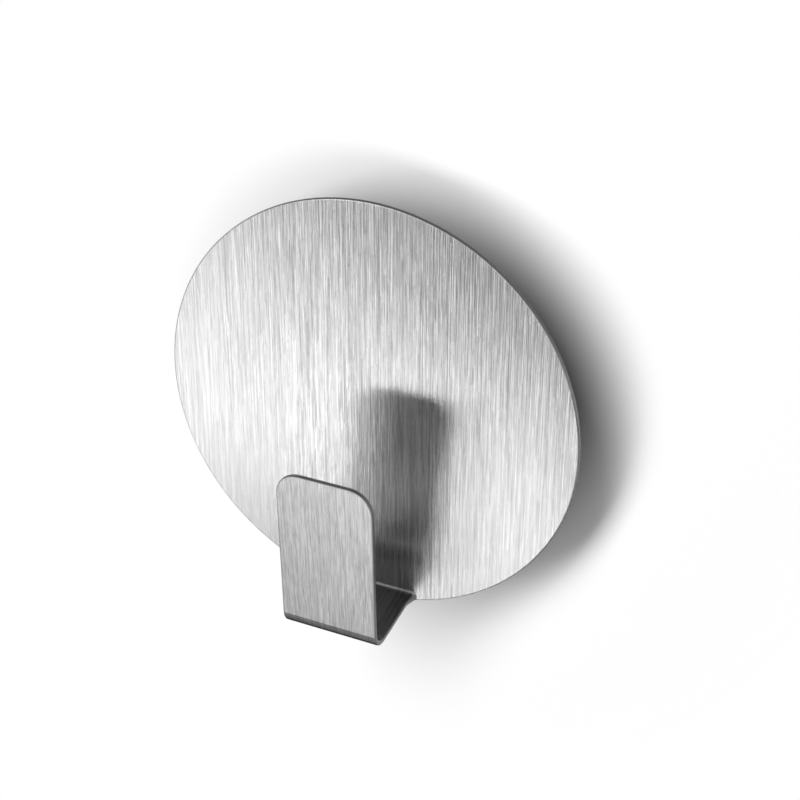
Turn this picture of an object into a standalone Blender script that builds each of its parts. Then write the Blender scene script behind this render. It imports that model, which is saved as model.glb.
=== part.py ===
"""Magnetic hook: a round brushed plate with a hook bent from the same sheet, glued to a magnet pack.

Every piece is modelled lying on a bench with its wall side down: X is right, Y is up on the wall and Z is
the distance from the wall. The parent empty then stands the assembly up against the wall, so that in the
world the wall is the plane Y = 0, the plate faces -Y and Z is up.
"""

import math

import bmesh
import bpy
from mathutils import Matrix

MM = 0.001

# Plate and hook, one sheet
PLATE_DIAMETER = 50.0 * MM
SHEET = 0.6 * MM
EDGE_ROUNDING = 0.15 * MM
HOOK_WIDTH = 11.7 * MM
HOOK_REACH = 9.9 * MM
WEB_SLOPE = math.radians(8.0)
TAB_HEIGHT = 21.95 * MM
TAB_LEAN = math.radians(3.0)
TAB_CORNER_RADIUS = 2.8 * MM
ROOT_BEND_RADIUS = 0.6 * MM
TAB_BEND_RADIUS = 1.6 * MM
ROOT_FILLET = 0.8 * MM
HOOK_ABOVE_RIM = 1.0 * MM

# Magnet pack behind the plate
MAGNET_COUNT = 6
MAGNET_DIAMETER = 8.0 * MM
MAGNET_THICKNESS = 2.5 * MM
MAGNET_CHAMFER = 0.25 * MM
POCKET_WALL = 1.4 * MM
YOKE_MARGIN = 1.0 * MM
YOKE_THICKNESS = 1.2 * MM
YOKE_CHAMFER = 0.2 * MM
JACKET_WALL = 1.7 * MM
JACKET_FLOOR = 0.6 * MM
JACKET_ROUNDING = 0.7 * MM
ADHESIVE_INSET = 1.5 * MM
ADHESIVE_THICKNESS = 1.1 * MM

# Gap kept between two pieces that touch
CLEARANCE = 0.3 * MM

# Facets
PLATE_FACETS = 112
PACK_FACETS = 64
MAGNET_FACETS = 32
BEND_FACETS = 8
CORNER_FACETS = 8
FILLET_FACETS = 5
ROUNDING_FACETS = 4

# Heights above the wall, in order from the wall to the plate
MAGNET_BASE = JACKET_FLOOR + CLEARANCE
YOKE_BASE = MAGNET_BASE + MAGNET_THICKNESS + CLEARANCE
JACKET_HEIGHT = YOKE_BASE + YOKE_THICKNESS
ADHESIVE_BASE = JACKET_HEIGHT + CLEARANCE
PLATE_BACK = ADHESIVE_BASE + ADHESIVE_THICKNESS + CLEARANCE
PLATE_FRONT = PLATE_BACK + SHEET

# Radii of the pack, from the magnets outwards
MAGNET_RADIUS = MAGNET_DIAMETER / 2
POCKET_RADIUS = MAGNET_RADIUS + CLEARANCE
MAGNET_CIRCLE_RADIUS = (POCKET_RADIUS + POCKET_WALL / 2) / math.sin(math.pi / MAGNET_COUNT)
YOKE_RADIUS = MAGNET_CIRCLE_RADIUS + MAGNET_RADIUS + YOKE_MARGIN
YOKE_RECESS_RADIUS = YOKE_RADIUS + CLEARANCE
JACKET_RADIUS = YOKE_RECESS_RADIUS + JACKET_WALL
ADHESIVE_RADIUS = JACKET_RADIUS - ADHESIVE_INSET

# Outline of the blank where the tongue leaves the round plate through a fillet
PLATE_RADIUS = PLATE_DIAMETER / 2
HALF_WIDTH = HOOK_WIDTH / 2
FILLET_X = HALF_WIDTH + ROOT_FILLET
FILLET_ANGLE = math.acos(FILLET_X / (PLATE_RADIUS + ROOT_FILLET))
FILLET_DOWN = FILLET_X * math.tan(FILLET_ANGLE)
FLARE_WIDTH = PLATE_RADIUS * math.cos(FILLET_ANGLE) - HALF_WIDTH

# The hook's corners, as its faces would meet if they were drawn on past the bends. The web's underside starts
# at the plate's front and slopes down to the tab. A setback is the distance from a corner to its bend.
WEB_UNDERSIDE = -(PLATE_RADIUS - HOOK_ABOVE_RIM)
WEB_TOP = WEB_UNDERSIDE + SHEET / math.cos(WEB_SLOPE)
ROOT_BEND_ANGLE = math.radians(90.0) - WEB_SLOPE
TAB_BEND_ANGLE = math.radians(180.0) - ROOT_BEND_ANGLE - TAB_LEAN
ROOT_SETBACK = ROOT_BEND_RADIUS * math.tan(ROOT_BEND_ANGLE / 2)
TAB_SETBACK = (TAB_BEND_RADIUS + SHEET) * math.tan(TAB_BEND_ANGLE / 2)

# The hook's path on the sheet's front face. Distances down the flat blank start at the plate's centre.
ROOT_BEND_START = -WEB_TOP - ROOT_SETBACK
ROOT_BEND_LENGTH = ROOT_BEND_RADIUS * ROOT_BEND_ANGLE
ROOT_BEND_END = ROOT_BEND_START + ROOT_BEND_LENGTH
WEB_LENGTH = HOOK_REACH / math.cos(WEB_SLOPE) + SHEET * math.tan(WEB_SLOPE) - ROOT_SETBACK - TAB_SETBACK
TAB_BEND_START = ROOT_BEND_END + WEB_LENGTH
TAB_BEND_LENGTH = TAB_BEND_RADIUS * TAB_BEND_ANGLE
TAB_BEND_END = TAB_BEND_START + TAB_BEND_LENGTH
TAB_LENGTH = TAB_HEIGHT / math.cos(TAB_LEAN) - TAB_SETBACK
TONGUE_END = TAB_BEND_END + TAB_LENGTH

# Length and turn of each stretch of the path: plate, root bend, web, tab bend and tab
STRETCHES = [
    (ROOT_BEND_START, 0.0),
    (ROOT_BEND_LENGTH, ROOT_BEND_ANGLE),
    (WEB_LENGTH, 0.0),
    (TAB_BEND_LENGTH, TAB_BEND_ANGLE),
    (TAB_LENGTH, 0.0),
]

# A rounded edge takes at most this share of the wall it is on
MOST_ROUNDING = 0.45
SHEET_ROUNDING = min(EDGE_ROUNDING, MOST_ROUNDING * SHEET)

WELD_DISTANCE = 0.001 * MM
SHARP_ANGLE = math.radians(30.0)


def clear_scene():
    for item in list(bpy.data.objects):
        bpy.data.objects.remove(item, do_unlink=True)


def new_collection(name):
    collection = bpy.data.collections.new(name)
    bpy.context.scene.collection.children.link(collection)
    return collection


def material(name, colour, roughness, metallic):
    made = bpy.data.materials.new(name)
    made.use_nodes = True
    shader = made.node_tree.nodes["Principled BSDF"]
    shader.inputs["Base Color"].default_value = (*colour, 1.0)
    shader.inputs["Roughness"].default_value = roughness
    shader.inputs["Metallic"].default_value = metallic
    made.diffuse_color = (*colour, 1.0)
    return made


def add_object(name, mesh, collection, parent, surface=None):
    piece = bpy.data.objects.new(name, mesh)
    collection.objects.link(piece)
    piece.parent = parent
    if surface is not None:
        mesh.materials.append(surface)
    mesh.shade_smooth()
    mesh.set_sharp_from_angle(angle=SHARP_ANGLE)
    return piece


def arc(centre, radius, first, last, facets):
    """Points of an arc about a centre, both ends included."""
    points = []
    for step in range(facets + 1):
        angle = first + (last - first) * step / facets
        points.append((centre[0] + radius * math.cos(angle), centre[1] + radius * math.sin(angle)))
    return points


def blank_outline():
    """Outline of the flat blank: the round plate, a fillet at each side of the tongue, and the tongue."""
    tip = -TONGUE_END
    corner = min(TAB_CORNER_RADIUS, HALF_WIDTH)
    corner_x = HALF_WIDTH - corner
    points = arc((0.0, 0.0), PLATE_RADIUS, -FILLET_ANGLE, math.pi + FILLET_ANGLE, PLATE_FACETS)
    points += arc((-FILLET_X, -FILLET_DOWN), ROOT_FILLET, FILLET_ANGLE, 0.0, FILLET_FACETS)[1:]
    points += arc((-corner_x, tip + corner), corner, math.pi, 1.5 * math.pi, CORNER_FACETS)
    points += arc((corner_x, tip + corner), corner, -0.5 * math.pi, 0.0, CORNER_FACETS)
    points += arc((FILLET_X, -FILLET_DOWN), ROOT_FILLET, math.pi, math.pi - FILLET_ANGLE, FILLET_FACETS)[:-1]
    return points


def flat_blank():
    """The blank as cut from sheet, with rounded edges, its front face up at Z = 0."""
    points = blank_outline()
    curve = bpy.data.curves.new("blank", "CURVE")
    curve.dimensions = "2D"
    curve.fill_mode = "BOTH"
    curve.extrude = SHEET / 2 - SHEET_ROUNDING
    curve.bevel_depth = SHEET_ROUNDING
    curve.bevel_resolution = 1
    curve.offset = -SHEET_ROUNDING
    spline = curve.splines.new("POLY")
    spline.points.add(len(points) - 1)
    for point, (x, y) in zip(spline.points, points):
        point.co = (x, y, 0.0, 1.0)
    spline.use_cyclic_u = True
    guide = bpy.data.objects.new("blank", curve)
    bpy.context.scene.collection.objects.link(guide)
    graph = bpy.context.evaluated_depsgraph_get()
    mesh = bpy.data.meshes.new_from_object(guide.evaluated_get(graph))
    bpy.data.objects.remove(guide, do_unlink=True)
    bpy.data.curves.remove(curve)
    mesh.transform(Matrix.Translation((0.0, 0.0, -SHEET / 2)))
    return mesh


def steps(start, end, count):
    return [start + (end - start) * step / count for step in range(count + 1)]


def bent(down, depth):
    """(Y, Z) of a tongue's point from its distance down the blank and its depth under the front face."""
    y = 0.0
    z = PLATE_FRONT
    heading = 0.0
    left = down
    for length, turn in STRETCHES:
        run = min(left, length)
        left -= run
        if turn:
            radius = length / turn
            end = heading + run / radius
            y -= radius * (math.sin(end) - math.sin(heading))
            z += radius * (math.cos(heading) - math.cos(end))
            heading = end
        else:
            y -= run * math.cos(heading)
            z += run * math.sin(heading)
    return y - depth * math.sin(heading), z - depth * math.cos(heading)


def bend_share(x):
    """1 in the tongue and 0 on the plate, easing off where the fillet flares from one to the other."""
    over = (abs(x) - HALF_WIDTH) / FLARE_WIDTH
    over = max(0.0, min(1.0, over))
    return 1.0 - over * over * (3.0 - 2.0 * over)


def divide(sheet, faces, point, normal):
    """Cuts these faces of the sheet along a plane, leaving both sides."""
    edges = {edge for face in faces for edge in face.edges}
    corners = {corner for face in faces for corner in face.verts}
    bmesh.ops.bisect_plane(
        sheet, geom=[*corners, *edges, *faces], dist=WELD_DISTANCE, plane_co=point, plane_no=normal
    )


def divide_for_bending(sheet):
    """Divides the flat sheet across its bends, and lengthwise in the flared root."""
    root_lines = steps(ROOT_BEND_START, ROOT_BEND_END, BEND_FACETS)
    flare_lines = steps(ROOT_BEND_END, FILLET_DOWN, FILLET_FACETS)[1:]
    tab_lines = steps(TAB_BEND_START, TAB_BEND_END, BEND_FACETS)
    for line in root_lines + flare_lines + tab_lines:
        divide(sheet, sheet.faces[:], (0.0, -line, 0.0), (0.0, 1.0, 0.0))
    for offset in steps(HALF_WIDTH, HALF_WIDTH + FLARE_WIDTH, FILLET_FACETS):
        for x in (-offset, offset):
            root = [face for face in sheet.faces if in_root(face.calc_center_median())]
            divide(sheet, root, (x, 0.0, 0.0), (1.0, 0.0, 0.0))


def in_root(point):
    return ROOT_BEND_START < -point.y < FILLET_DOWN


def hook_plate(collection, parent, surface):
    mesh = flat_blank()
    sheet = bmesh.new()
    sheet.from_mesh(mesh)
    bmesh.ops.remove_doubles(sheet, verts=sheet.verts, dist=WELD_DISTANCE)
    bmesh.ops.recalc_face_normals(sheet, faces=sheet.faces)
    divide_for_bending(sheet)
    for vertex in sheet.verts:
        depth = -vertex.co.z
        share = bend_share(vertex.co.x)
        y, z = bent(-vertex.co.y, depth)
        vertex.co.y += share * (y - vertex.co.y)
        vertex.co.z = PLATE_FRONT - depth
        vertex.co.z += share * (z - vertex.co.z)
    sheet.to_mesh(mesh)
    sheet.free()
    return add_object("hook_plate", mesh, collection, parent, surface)


def round_plate(name, radius, thickness, base, facets, chamfer, collection, parent, surface):
    """A flat disc with its lower face at base, its edges chamfered where chamfer isn't zero."""
    disc = bmesh.new()
    lift = Matrix.Translation((0.0, 0.0, thickness / 2))
    bmesh.ops.create_cone(
        disc, cap_ends=True, segments=facets, radius1=radius, radius2=radius, depth=thickness, matrix=lift
    )
    mesh = bpy.data.meshes.new(name)
    disc.to_mesh(mesh)
    disc.free()
    piece = add_object(name, mesh, collection, parent, surface)
    piece.location.z = base
    if chamfer:
        bevel = piece.modifiers.new("chamfer", "BEVEL")
        bevel.width = chamfer
        bevel.segments = 1
        bevel.limit_method = "ANGLE"
        bevel.angle_limit = SHARP_ANGLE
    return piece


def magnet_angles():
    return [math.tau * index / MAGNET_COUNT for index in range(MAGNET_COUNT)]


def magnets(collection, parent, surface):
    for number, angle in enumerate(magnet_angles(), start=1):
        magnet = round_plate(
            f"magnet_{number}", MAGNET_RADIUS, MAGNET_THICKNESS, MAGNET_BASE, MAGNET_FACETS,
            MAGNET_CHAMFER, collection, parent, surface,
        )
        magnet.location.x = MAGNET_CIRCLE_RADIUS * math.cos(angle)
        magnet.location.y = MAGNET_CIRCLE_RADIUS * math.sin(angle)


def jacket_profile():
    """Half section of the jacket, from the axis round the recess, rim and wall face back to the axis."""
    edge = min(JACKET_ROUNDING, MOST_ROUNDING * JACKET_HEIGHT, MOST_ROUNDING * JACKET_WALL)
    middle = JACKET_RADIUS - edge
    points = [(0.0, YOKE_BASE - CLEARANCE), (YOKE_RECESS_RADIUS, YOKE_BASE - CLEARANCE)]
    points.append((YOKE_RECESS_RADIUS, JACKET_HEIGHT))
    points += arc((middle, JACKET_HEIGHT - edge), edge, math.pi / 2, 0.0, ROUNDING_FACETS)
    points += arc((middle, edge), edge, 0.0, -math.pi / 2, ROUNDING_FACETS)
    points.append((0.0, 0.0))
    return points


def magnet_pockets(collection, parent):
    """One cutter with a pocket for each magnet, open into the yoke's recess."""
    cutter = bmesh.new()
    bottom = JACKET_FLOOR
    top = YOKE_BASE
    for angle in magnet_angles():
        x = MAGNET_CIRCLE_RADIUS * math.cos(angle)
        y = MAGNET_CIRCLE_RADIUS * math.sin(angle)
        middle = Matrix.Translation((x, y, (bottom + top) / 2))
        bmesh.ops.create_cone(
            cutter, cap_ends=True, segments=MAGNET_FACETS, radius1=POCKET_RADIUS, radius2=POCKET_RADIUS,
            depth=top - bottom, matrix=middle,
        )
    mesh = bpy.data.meshes.new("magnet_pockets")
    cutter.to_mesh(mesh)
    cutter.free()
    pockets = add_object("magnet_pockets", mesh, collection, parent)
    pockets.hide_render = True
    pockets.display_type = "WIRE"
    return pockets


def rubber_jacket(collection, parent, surface, pockets):
    section = bmesh.new()
    corners = [section.verts.new((x, 0.0, z)) for x, z in jacket_profile()]
    for start, end in zip(corners, corners[1:]):
        section.edges.new((start, end))
    mesh = bpy.data.meshes.new("rubber_jacket")
    section.to_mesh(mesh)
    section.free()
    jacket = add_object("rubber_jacket", mesh, collection, parent, surface)
    turn = jacket.modifiers.new("turn", "SCREW")
    turn.steps = PACK_FACETS
    turn.render_steps = PACK_FACETS
    turn.use_merge_vertices = True
    turn.merge_threshold = WELD_DISTANCE
    cut = jacket.modifiers.new("pockets", "BOOLEAN")
    cut.operation = "DIFFERENCE"
    cut.object = pockets
    return jacket


def main():
    clear_scene()
    parts = new_collection("magnetic_hook")
    cutters = new_collection("cutters")
    stand = bpy.data.objects.new("stand_on_wall", None)
    parts.objects.link(stand)
    stand.rotation_euler.x = math.radians(90.0)

    steel = material("brushed_stainless", (0.60, 0.60, 0.59), 0.35, 1.0)
    zinc = material("zinc_plated_steel", (0.55, 0.56, 0.58), 0.30, 1.0)
    nickel = material("nickel_plating", (0.66, 0.64, 0.60), 0.18, 1.0)
    rubber = material("black_rubber", (0.022, 0.022, 0.023), 0.75, 0.0)
    tape = material("foam_tape", (0.78, 0.78, 0.75), 0.65, 0.0)

    hook_plate(parts, stand, steel)
    round_plate(
        "adhesive_pad", ADHESIVE_RADIUS, ADHESIVE_THICKNESS, ADHESIVE_BASE, PACK_FACETS, 0.0,
        parts, stand, tape,
    )
    round_plate(
        "yoke_plate", YOKE_RADIUS, YOKE_THICKNESS, YOKE_BASE, PACK_FACETS, YOKE_CHAMFER,
        parts, stand, zinc,
    )
    magnets(parts, stand, nickel)
    rubber_jacket(parts, stand, rubber, magnet_pockets(cutters, stand))


main()
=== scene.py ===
"""Looks of the magnetic hook: camera, wall, studio light and the finish of every piece."""

import math

import bpy
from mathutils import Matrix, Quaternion, Vector


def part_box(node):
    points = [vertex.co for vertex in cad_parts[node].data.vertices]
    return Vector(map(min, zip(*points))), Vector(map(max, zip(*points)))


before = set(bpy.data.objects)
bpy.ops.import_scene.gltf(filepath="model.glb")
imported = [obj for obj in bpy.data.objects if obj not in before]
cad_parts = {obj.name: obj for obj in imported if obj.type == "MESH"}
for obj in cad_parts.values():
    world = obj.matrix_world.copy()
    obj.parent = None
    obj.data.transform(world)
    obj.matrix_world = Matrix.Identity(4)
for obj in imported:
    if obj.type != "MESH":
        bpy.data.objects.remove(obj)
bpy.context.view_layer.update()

MM = 0.001

# The plate's front face, one sheet in front of its back
SHEET = 0.6 * MM
PLATE_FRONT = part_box("hook_plate")[1].y - SHEET

# Camera, aimed at a point of the plate's front face
CAMERA_AZIMUTH = 24.475
CAMERA_ELEVATION = 29.672
CAMERA_ROLL = 0.637
CAMERA_DISTANCE = 189.99 * MM
CAMERA_LENS = 77.65
CAMERA_SENSOR = 36.0
CAMERA_CLIP = 1.0 * MM
AIM_RIGHT = 4.02 * MM
AIM_UP = 2.26 * MM

# Wall, a round piece that fades into the white background
WALL_RADIUS = 80.0 * MM
WALL_CORNERS = 64
WALL_FADE = (36.0 * MM, 60.0 * MM)
WALL_GAP = 0.05 * MM

# How bright the room looks in mirrored rays: pairs of a height, which is the Z of a direction, and a level
ROOM_LEFT = (
    (-0.80, 0.03), (-0.72, 0.5), (-0.69, 0.7), (-0.65, 0.57), (-0.62, 0.45), (-0.57, 0.60), (-0.50, 0.03),
    (0.0, 0.03), (0.35, 1.8), (0.55, 1.8), (0.75, 0.1),
)
ROOM_RIGHT = ((-0.75, 0.3), (-0.62, 0.5), (-0.52, 0.03), (-0.1, 0.03), (0.3, 0.12))
ROOM_HORIZON = ((-0.38, 0.0), (-0.2, 0.7), (0.3, 0.7), (0.6, 0.1))
ROOM_BEHIND = ((-0.75, 0.03), (-0.55, 0.9), (-0.3, 0.9), (0.1, 0.35))
FAR_LEFT_SHARE = 0.1
FAR_RIGHT_LEVEL = 0.45

# Where one side of the room passes into the next: the X of a direction, and its Y for the room behind
FAR_LEFT_TO_LEFT = (-0.8, -0.6)
LEFT_TO_RIGHT = (-0.5, -0.2)
RIGHT_TO_FAR_RIGHT = (0.3, 0.6)
FRONT_TO_BEHIND = (-0.2, 0.2)

# Brushed grain: widths across it and lengths along it, and the shares of its hairlines, shortest ones first
GRAIN_LEAN = 0.5
BROAD_STREAK = (0.5 * MM, 12.0 * MM)
BUMP_STREAK = (0.15 * MM, 9.0 * MM)
LONG_HAIRLINE = (0.18 * MM, 12.0 * MM)
HAIRLINE = (0.12 * MM, 5.0 * MM)
SHORT_HAIRLINE = (0.12 * MM, 1.6 * MM)
HOOK_HAIRLINE = (0.15 * MM, 1.2 * MM)
PLATE_SHARES = (0.3, 0.35, 0.35)
HOOK_SHARES = (0.3, 0.3, 0.4)
BROAD_SHARE = 0.2
MEAN_TONE = 0.6
GRAIN_DEPTH = 0.025 * MM

# How strongly the grain shows on the plate, and the places between which that changes
GRAIN_LOW_DOWN = 0.6
GRAIN_AT_TOP = 1.5
GRAIN_AT_LEFT = 0.6
GRAIN_ADDED_NEAR_HOOK = 0.9
LOW_DOWN_TO_TOP = (-15.0 * MM, 20.0 * MM)
LEFT_TO_MIDDLE = (-20.0 * MM, -6.0 * MM)
BESIDE_HOOK = (6.0 * MM, 12.0 * MM)
ABOVE_HOOK = (-3.0 * MM, 8.0 * MM)
HOOK_TO_PLATE = (PLATE_FRONT - 5.8 * MM, PLATE_FRONT - 1.8 * MM)

# Pits scattered over the sheet, which fade out between two shares of their radius
PIT_SPACING = 5.0 * MM
PIT_RADIUS = 0.07 * MM
PIT_RIM = (0.5, 1.2)
PIT_DARKENING = 0.5

# Steel: the grey of the grain's darkest and lightest lines, on bright steel and under the painted shade
# inside the hook, and of cut edges
BRIGHT_STEEL = (0.45, 0.80)
PAINTED_SHADE_STEEL = (0.14, 0.26)
EDGE_STEEL = 0.30
STEEL_ROUGHNESS = (0.21, 0.27)
EDGE_ROUGHNESS_ADDED = 0.2
ANISOTROPY = 0.95
ACROSS_GRAIN = 0.25

# Where shade is painted on the steel inside the hook, or the steel is a cut edge: places, and how far a
# normal points along an axis
# How much painted shade the tab's back gets near its tip
TAB_PAINTED_SHADE = 0.65
TAB_FOOT_TO_TIP = (-21.0 * MM, -9.0 * MM)
WEB_TO_PLATE = (PLATE_FRONT - 0.3 * MM, PLATE_FRONT + 0.1 * MM)
FACING = (0.3, 0.8)
ABOVE_ROOT = -21.0 * MM
EDGE_TURN = (0.15, 0.6)

# Uneven surface of all finishes: the range of noise that changes the roughness, and the bump
SURFACE_NOISE = (0.3, 0.7)
BUMP_STRENGTH = 0.5

# Mottling of the finishes other than brushed steel
MOTTLE_DETAIL = 4.0
MOTTLE_FINENESS = 0.6
MOTTLE_RANGE = (0.35, 0.65)
ROUGHNESS_SPREAD = 0.06

# A Mix node's colour sockets, which share their names with its other ones
MIX_FIRST = 6
MIX_SECOND = 7
MIX_RESULT = 2


def direction(azimuth, elevation):
    """Unit vector from the object towards a viewer at this azimuth and elevation in degrees."""
    around = math.radians(azimuth)
    above = math.radians(elevation)
    return Vector((math.sin(around) * math.cos(above), -math.cos(around) * math.cos(above), math.sin(above)))


def facing_object(towards, roll):
    """Rotation of a camera or lamp that lies in direction towards and looks back, rolled by degrees."""
    return (-towards).to_track_quat("-Z", "Y") @ Quaternion((0.0, 0.0, 1.0), math.radians(roll))


def place(thing, location, rotation):
    """Puts a new camera or lamp into the scene."""
    thing.location = location
    thing.rotation_mode = "QUATERNION"
    thing.rotation_quaternion = rotation
    bpy.context.scene.collection.objects.link(thing)


def connect(tree, socket, value):
    """Links a socket to another one, or sets it to a plain value."""
    if isinstance(value, bpy.types.NodeSocket):
        tree.links.new(value, socket)
    else:
        socket.default_value = value


def add(tree, kind, sockets=None, **settings):
    """A new node with its settings and with its sockets linked or set."""
    made = tree.nodes.new(kind)
    for name, value in settings.items():
        setattr(made, name, value)
    for name, value in (sockets or {}).items():
        connect(tree, made.inputs[name], value)
    return made


def math_node(tree, operation, first, second=0.0, third=0.0):
    """Result of one operation on up to three values."""
    sockets = {0: first, 1: second, 2: third}
    return add(tree, "ShaderNodeMath", sockets, operation=operation).outputs[0]


def axes(tree, vector):
    """The X, Y and Z of a vector."""
    return add(tree, "ShaderNodeSeparateXYZ", {0: vector}).outputs


def ramp(tree, value, low, high, bottom=0.0, top=1.0):
    """Maps value smoothly from bottom to top as it goes from low to high."""
    sockets = {"Value": value, "From Min": low, "From Max": high, "To Min": bottom, "To Max": top}
    return add(tree, "ShaderNodeMapRange", sockets, interpolation_type="SMOOTHSTEP").outputs["Result"]


def weighted(tree, parts):
    """Sum of (value, weight) pairs."""
    total = 0.0
    for value, weight in parts:
        total = math_node(tree, "MULTIPLY_ADD", value, weight, total)
    return total


def grey(level, warmth=0.0):
    """A grey, tinted warm or, where warmth is below zero, cool."""
    return (level * (1.0 + warmth), level, level * (1.0 - warmth), 1.0)


def mix_colour(tree, share, first, second):
    """The first colour at share 0 and the second at share 1."""
    made = add(tree, "ShaderNodeMix", {"Factor": share}, data_type="RGBA")
    connect(tree, made.inputs[MIX_FIRST], first)
    connect(tree, made.inputs[MIX_SECOND], second)
    return made.outputs[MIX_RESULT]


def new_material(name):
    """A material, its node tree and its Principled shader."""
    made = bpy.data.materials.new(name)
    made.use_nodes = True
    return made, made.node_tree, made.node_tree.nodes["Principled BSDF"]


def object_place(tree):
    """Where a point is, in metres."""
    return add(tree, "ShaderNodeTexCoord").outputs["Object"]


def object_normal(tree):
    """The X, Y and Z of the surface's normal."""
    return axes(tree, add(tree, "ShaderNodeTexCoord").outputs["Normal"])


def noise(tree, where, scale, detail, roughness=0.5):
    sockets = {"Vector": where, "Scale": scale, "Detail": detail, "Roughness": roughness}
    return add(tree, "ShaderNodeTexNoise", sockets).outputs["Fac"]


def streaks(tree, where, size):
    """Noise drawn out along the sheet: size is the width across X and the length along Y and Z."""
    across, along = size
    stretch = (1.0 / across, 1.0 / along, 1.0 / along)
    drawn = add(tree, "ShaderNodeVectorMath", {0: where, 1: stretch}, operation="MULTIPLY").outputs[0]
    return noise(tree, drawn, scale=1.0, detail=1.0)


def hairlines(tree, where, size):
    """Random level of each thin straight line of the brushing: size is its width across X and its length."""
    width, length = size
    place_x, place_y, place_z = axes(tree, where)
    column = math_node(tree, "FLOOR", math_node(tree, "DIVIDE", place_x, width))
    start = add(tree, "ShaderNodeTexWhiteNoise", {"W": column}, noise_dimensions="1D").outputs["Value"]
    along = math_node(tree, "DIVIDE", math_node(tree, "ADD", place_y, place_z), length)
    row = math_node(tree, "FLOOR", math_node(tree, "ADD", along, start))
    line = add(tree, "ShaderNodeCombineXYZ", {"X": column, "Y": row}).outputs["Vector"]
    return add(tree, "ShaderNodeTexWhiteNoise", {"Vector": line}, noise_dimensions="2D").outputs["Value"]


def pits(tree):
    """1 in the few tiny pits that are scattered over the sheet, as seen from the front."""
    upright = (math.radians(-90.0), 0.0, 0.0)
    turned = add(tree, "ShaderNodeMapping", {"Vector": object_place(tree), "Rotation": upright})
    sockets = {"Vector": turned.outputs["Vector"], "Scale": 1.0 / PIT_SPACING}
    cells = add(tree, "ShaderNodeTexVoronoi", sockets, voronoi_dimensions="2D")
    inner, outer = [share * PIT_RADIUS / PIT_SPACING for share in PIT_RIM]
    return ramp(tree, cells.outputs["Distance"], inner, outer, 1.0, 0.0)


def cut_edge(tree):
    """1 on the sheet's cut edges, 0 on its faces, which lie along X and, above the hook's root, face Y."""
    normal = object_normal(tree)
    sideways = math_node(tree, "ABSOLUTE", normal["X"])
    off_face = math_node(tree, "SUBTRACT", 1.0, math_node(tree, "ABSOLUTE", normal["Y"]))
    above_root = math_node(tree, "GREATER_THAN", axes(tree, object_place(tree))["Z"], ABOVE_ROOT)
    off_face = math_node(tree, "MULTIPLY", off_face, above_root)
    return ramp(tree, math_node(tree, "MAXIMUM", sideways, off_face), *EDGE_TURN)


def painted_shade_in_hook(tree):
    """Share of painted shade inside the hook, where its throat is in shade: the web's top is darkened all
    over, and the tab's back most near its tip."""
    where = axes(tree, object_place(tree))
    normal = object_normal(tree)
    towards_tip = ramp(tree, where["Z"], *TAB_FOOT_TO_TIP, 0.0, TAB_PAINTED_SHADE)
    tab_back = math_node(tree, "MULTIPLY", ramp(tree, normal["Y"], *FACING), towards_tip)
    inside = math_node(tree, "MAXIMUM", tab_back, ramp(tree, normal["Z"], *FACING))
    in_front = ramp(tree, where["Y"], *WEB_TO_PLATE, 1.0, 0.0)
    return math_node(tree, "MULTIPLY", in_front, inside)


def grain_strength(tree, where):
    """How strongly the brushing shows: most near the plate's top and round the hook's root, least low down
    at the left, 1 on the hook."""
    place_x, place_y, place_z = axes(tree, where)
    upwards = ramp(tree, place_z, *LOW_DOWN_TO_TOP, GRAIN_LOW_DOWN, GRAIN_AT_TOP)
    from_left = ramp(tree, place_x, *LEFT_TO_MIDDLE, GRAIN_AT_LEFT, 1.0)
    on_plate = math_node(tree, "MULTIPLY", upwards, from_left)
    beside = ramp(tree, math_node(tree, "ABSOLUTE", place_x), *BESIDE_HOOK, 1.0, 0.0)
    near_hook = math_node(tree, "MULTIPLY", beside, ramp(tree, place_z, *ABOVE_HOOK, 1.0, 0.0))
    on_plate = math_node(tree, "MULTIPLY_ADD", near_hook, GRAIN_ADDED_NEAR_HOOK, on_plate)
    return ramp(tree, place_y, *HOOK_TO_PLATE, 1.0, on_plate)


def grain_tone(tree, where, strength):
    """Tone of the brushing, 0 where it is dark and 1 where it is light."""
    shortest = hairlines(tree, where, HOOK_HAIRLINE)
    short = hairlines(tree, where, SHORT_HAIRLINE)
    middle = hairlines(tree, where, HAIRLINE)
    long = hairlines(tree, where, LONG_HAIRLINE)
    plate = weighted(tree, zip((short, middle, long), PLATE_SHARES))
    hook = weighted(tree, zip((shortest, short, middle), HOOK_SHARES))
    tone = ramp(tree, axes(tree, where)["Y"], *HOOK_TO_PLATE, hook, plate)
    tone = weighted(tree, [(tone, 1.0), (streaks(tree, where, BROAD_STREAK), BROAD_SHARE)])
    from_mean = math_node(tree, "SUBTRACT", tone, MEAN_TONE)
    tone = math_node(tree, "MULTIPLY_ADD", from_mean, strength, MEAN_TONE)
    return weighted(tree, [(tone, 1.0), (pits(tree), -PIT_DARKENING)])


def steel_colour(tree, tone, edge):
    """Bright steel, darkened by painted shade inside the hook, and plain on the cut edges."""
    bright = mix_colour(tree, tone, *[grey(level) for level in BRIGHT_STEEL])
    shaded_steel = mix_colour(tree, tone, *[grey(level) for level in PAINTED_SHADE_STEEL])
    # Painted shade: the steel inside the hook's throat is mixed towards the darker greys
    face = mix_colour(tree, painted_shade_in_hook(tree), bright, shaded_steel)
    return mix_colour(tree, edge, face, grey(EDGE_STEEL))


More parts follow.
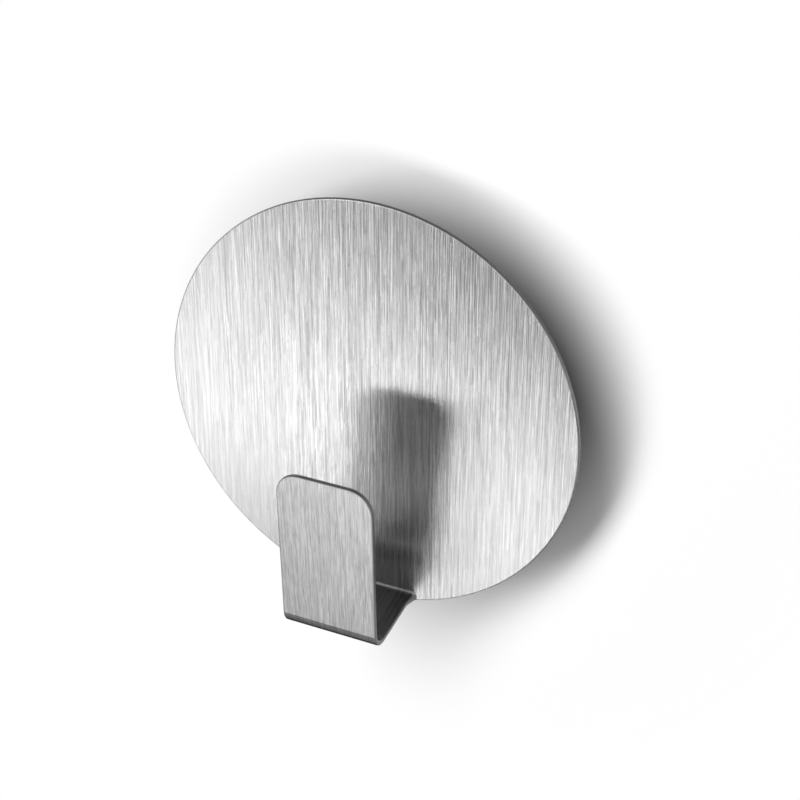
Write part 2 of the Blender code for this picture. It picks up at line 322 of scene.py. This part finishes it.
def brushed_steel():
    made, tree, shader = new_material("brushed_steel")
    lean = (0.0, math.radians(GRAIN_LEAN), 0.0)
    leaning = add(tree, "ShaderNodeMapping", {"Vector": object_place(tree), "Rotation": lean})
    where = leaning.outputs["Vector"]
    strength = grain_strength(tree, where)
    edge = cut_edge(tree)
    colour = steel_colour(tree, grain_tone(tree, where, strength), edge)
    connect(tree, shader.inputs["Base Color"], colour)
    marks = streaks(tree, where, BUMP_STREAK)
    roughness = ramp(tree, marks, *SURFACE_NOISE, *STEEL_ROUGHNESS)
    roughness = math_node(tree, "MULTIPLY_ADD", edge, EDGE_ROUGHNESS_ADDED, roughness)
    connect(tree, shader.inputs["Roughness"], roughness)
    bump_strength = math_node(tree, "MULTIPLY", strength, BUMP_STRENGTH)
    sockets = {"Height": marks, "Strength": bump_strength, "Distance": GRAIN_DEPTH}
    connect(tree, shader.inputs["Normal"], add(tree, "ShaderNodeBump", sockets).outputs["Normal"])
    along = add(tree, "ShaderNodeTangent", direction_type="RADIAL", axis="X")
    connect(tree, shader.inputs["Tangent"], along.outputs["Tangent"])
    shader.inputs["Metallic"].default_value = 1.0
    shader.inputs["Anisotropic"].default_value = ANISOTROPY
    shader.inputs["Anisotropic Rotation"].default_value = ACROSS_GRAIN
    return made


def plain_finish(name, dark, light, scale, roughness, metallic, bump_height):
    """A finish with fine mottling in its colour and surface, scale blotches to the metre."""
    made, tree, shader = new_material(name)
    mottle = noise(tree, object_place(tree), scale, MOTTLE_DETAIL, MOTTLE_FINENESS)
    colour = mix_colour(tree, ramp(tree, mottle, *MOTTLE_RANGE), dark, light)
    connect(tree, shader.inputs["Base Color"], colour)
    smoothest = roughness - ROUGHNESS_SPREAD
    roughest = roughness + ROUGHNESS_SPREAD
    connect(tree, shader.inputs["Roughness"], ramp(tree, mottle, *SURFACE_NOISE, smoothest, roughest))
    sockets = {"Height": mottle, "Strength": BUMP_STRENGTH, "Distance": bump_height}
    connect(tree, shader.inputs["Normal"], add(tree, "ShaderNodeBump", sockets).outputs["Normal"])
    shader.inputs["Metallic"].default_value = metallic
    return made


def foam_tape():
    return plain_finish(
        "foam_tape", dark=grey(0.72, 0.02), light=grey(0.80, 0.02), scale=4000.0, roughness=0.7,
        metallic=0.0, bump_height=0.05 * MM,
    )


def zinc_plating():
    return plain_finish(
        "zinc_plated_steel", dark=grey(0.51, -0.02), light=grey(0.59, -0.02), scale=900.0, roughness=0.3,
        metallic=1.0, bump_height=0.01 * MM,
    )


def nickel_plating():
    return plain_finish(
        "nickel_plating", dark=grey(0.60, 0.04), light=grey(0.67, 0.04), scale=900.0, roughness=0.18,
        metallic=1.0, bump_height=0.004 * MM,
    )


def black_rubber():
    return plain_finish(
        "black_rubber", dark=grey(0.014), light=grey(0.030), scale=2600.0, roughness=0.5,
        metallic=0.0, bump_height=0.12 * MM,
    )


def finish_nodes(nodes):
    """Gives each piece its finish. Pieces not named here are the magnets."""
    finishes = {
        "hook_plate": brushed_steel(),
        "adhesive_pad": foam_tape(),
        "yoke_plate": zinc_plating(),
        "rubber_jacket": black_rubber(),
    }
    nickel = nickel_plating()
    for name, node in nodes.items():
        node.data.materials.clear()
        node.data.materials.append(finishes.get(name, nickel))


def add_camera():
    back = direction(CAMERA_AZIMUTH, CAMERA_ELEVATION)
    aim = Vector((AIM_RIGHT, PLATE_FRONT, AIM_UP))
    data = bpy.data.cameras.new("camera")
    data.sensor_width = CAMERA_SENSOR
    data.lens = CAMERA_LENS
    data.clip_start = CAMERA_CLIP
    camera = bpy.data.objects.new("camera", data)
    place(camera, aim + back * CAMERA_DISTANCE, facing_object(back, CAMERA_ROLL))
    bpy.context.scene.camera = camera


def wall_paint():
    """White paint that only a camera in front of the wall sees, so that the back can be seen and lit."""
    made = bpy.data.materials.new("wall")
    made.use_nodes = True
    tree = made.node_tree
    tree.nodes.clear()
    behind = add(tree, "ShaderNodeNewGeometry").outputs["Backfacing"]
    in_front = math_node(tree, "SUBTRACT", 1.0, behind)
    shown = math_node(tree, "MULTIPLY", add(tree, "ShaderNodeLightPath").outputs["Is Camera Ray"], in_front)
    far = add(tree, "ShaderNodeVectorMath", {0: object_place(tree)}, operation="LENGTH").outputs["Value"]
    shown = math_node(tree, "MULTIPLY", shown, ramp(tree, far, *WALL_FADE, 1.0, 0.0))
    paint = add(tree, "ShaderNodeBsdfDiffuse", {"Color": grey(1.0)})
    clear = add(tree, "ShaderNodeBsdfTransparent")
    mixed = add(tree, "ShaderNodeMixShader", {0: shown, 1: clear.outputs[0], 2: paint.outputs[0]})
    add(tree, "ShaderNodeOutputMaterial", {"Surface": mixed.outputs[0]})
    return made


def add_wall():
    bpy.ops.mesh.primitive_circle_add(vertices=WALL_CORNERS, radius=WALL_RADIUS, fill_type="NGON")
    wall = bpy.context.object
    wall.name = "wall"
    wall.location = (0.0, WALL_GAP, 0.0)
    wall.rotation_euler = (math.radians(90.0), 0.0, 0.0)
    wall.data.materials.append(wall_paint())


def room(tree, height, levels):
    """Brightness by height, from (height, level) pairs."""
    level = levels[0][1]
    for (low, _), (high, top) in zip(levels, levels[1:]):
        level = ramp(tree, height, low, high, level, top)
    return level


def mirrored_room(tree):
    """Brightness of the room in each direction, as the steel mirrors it."""
    towards = axes(tree, add(tree, "ShaderNodeTexCoord").outputs["Generated"])
    left = room(tree, towards["Z"], ROOM_LEFT)
    right = room(tree, towards["Z"], ROOM_RIGHT)
    level = ramp(tree, towards["X"], *LEFT_TO_RIGHT, left, right)
    from_far_left = ramp(tree, towards["X"], *FAR_LEFT_TO_LEFT, FAR_LEFT_SHARE, 1.0)
    level = math_node(tree, "MULTIPLY", level, from_far_left)
    level = math_node(tree, "MAXIMUM", level, room(tree, towards["Z"], ROOM_HORIZON))
    far_right = ramp(tree, towards["X"], *RIGHT_TO_FAR_RIGHT, 0.0, FAR_RIGHT_LEVEL)
    level = math_node(tree, "MAXIMUM", level, far_right)
    return ramp(tree, towards["Y"], *FRONT_TO_BEHIND, level, room(tree, towards["Z"], ROOM_BEHIND))


def add_world():
    """White to the camera, and a room in mirrored rays that no diffuse surface has scattered before."""
    world = bpy.data.worlds.new("studio")
    bpy.context.scene.world = world
    world.use_nodes = True
    world.cycles.sampling_method = "NONE"
    tree = world.node_tree
    path = add(tree, "ShaderNodeLightPath").outputs
    reflected = math_node(tree, "MAXIMUM", path["Is Glossy Ray"], path["Is Transmission Ray"])
    reflected = math_node(tree, "GREATER_THAN", reflected, path["Diffuse Depth"])
    strength = math_node(tree, "MULTIPLY", mirrored_room(tree), reflected)
    strength = math_node(tree, "MAXIMUM", strength, path["Is Camera Ray"])
    connect(tree, tree.nodes["Background"].inputs["Color"], grey(1.0))
    connect(tree, tree.nodes["Background"].inputs["Strength"], strength)


def add_lamp(name, azimuth, elevation, roll, distance, width, height, power):
    """A rectangular soft box that faces the object, rolled about its own axis."""
    data = bpy.data.lights.new(name, "AREA")
    data.shape = "RECTANGLE"
    data.size = width
    data.size_y = height
    data.energy = power
    towards = direction(azimuth, elevation)
    lamp = bpy.data.objects.new(name, data)
    place(lamp, towards * distance, facing_object(towards, roll))
    return lamp


def add_soft_boxes():
    """Lamps that light the wall, the tape and the rubber, and that the steel doesn't mirror."""
    key = add_lamp(
        "key", azimuth=-25.5, elevation=22.5, roll=-20.8, distance=1.0, width=0.3, height=1.48, power=11.5
    )
    low = add_lamp(
        "low", azimuth=-0.4, elevation=-19.4, roll=-9.2, distance=1.0, width=2.18, height=0.3, power=5.3
    )
    back = add_lamp(
        "back", azimuth=180.0, elevation=15.0, roll=0.0, distance=0.5, width=3.0, height=1.5, power=14.0
    )
    for lamp in (key, low, back):
        lamp.visible_glossy = False


def add_strips():
    """Lamps that show only where they are mirrored, as bright parts of the plate."""
    short = add_lamp(
        "short_strip", azimuth=-39.1, elevation=-23.4, roll=-41.2, distance=0.5, width=0.194, height=0.141,
        power=0.169,
    )
    long = add_lamp(
        "long_strip", azimuth=-6.3, elevation=-38.3, roll=-27.3, distance=0.5, width=0.368, height=0.061,
        power=0.165,
    )
    for lamp in (short, long):
        lamp.visible_diffuse = False


bpy.context.scene.view_settings.view_transform = "Standard"
add_camera()
add_wall()
add_world()
add_soft_boxes()
add_strips()
finish_nodes(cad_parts)
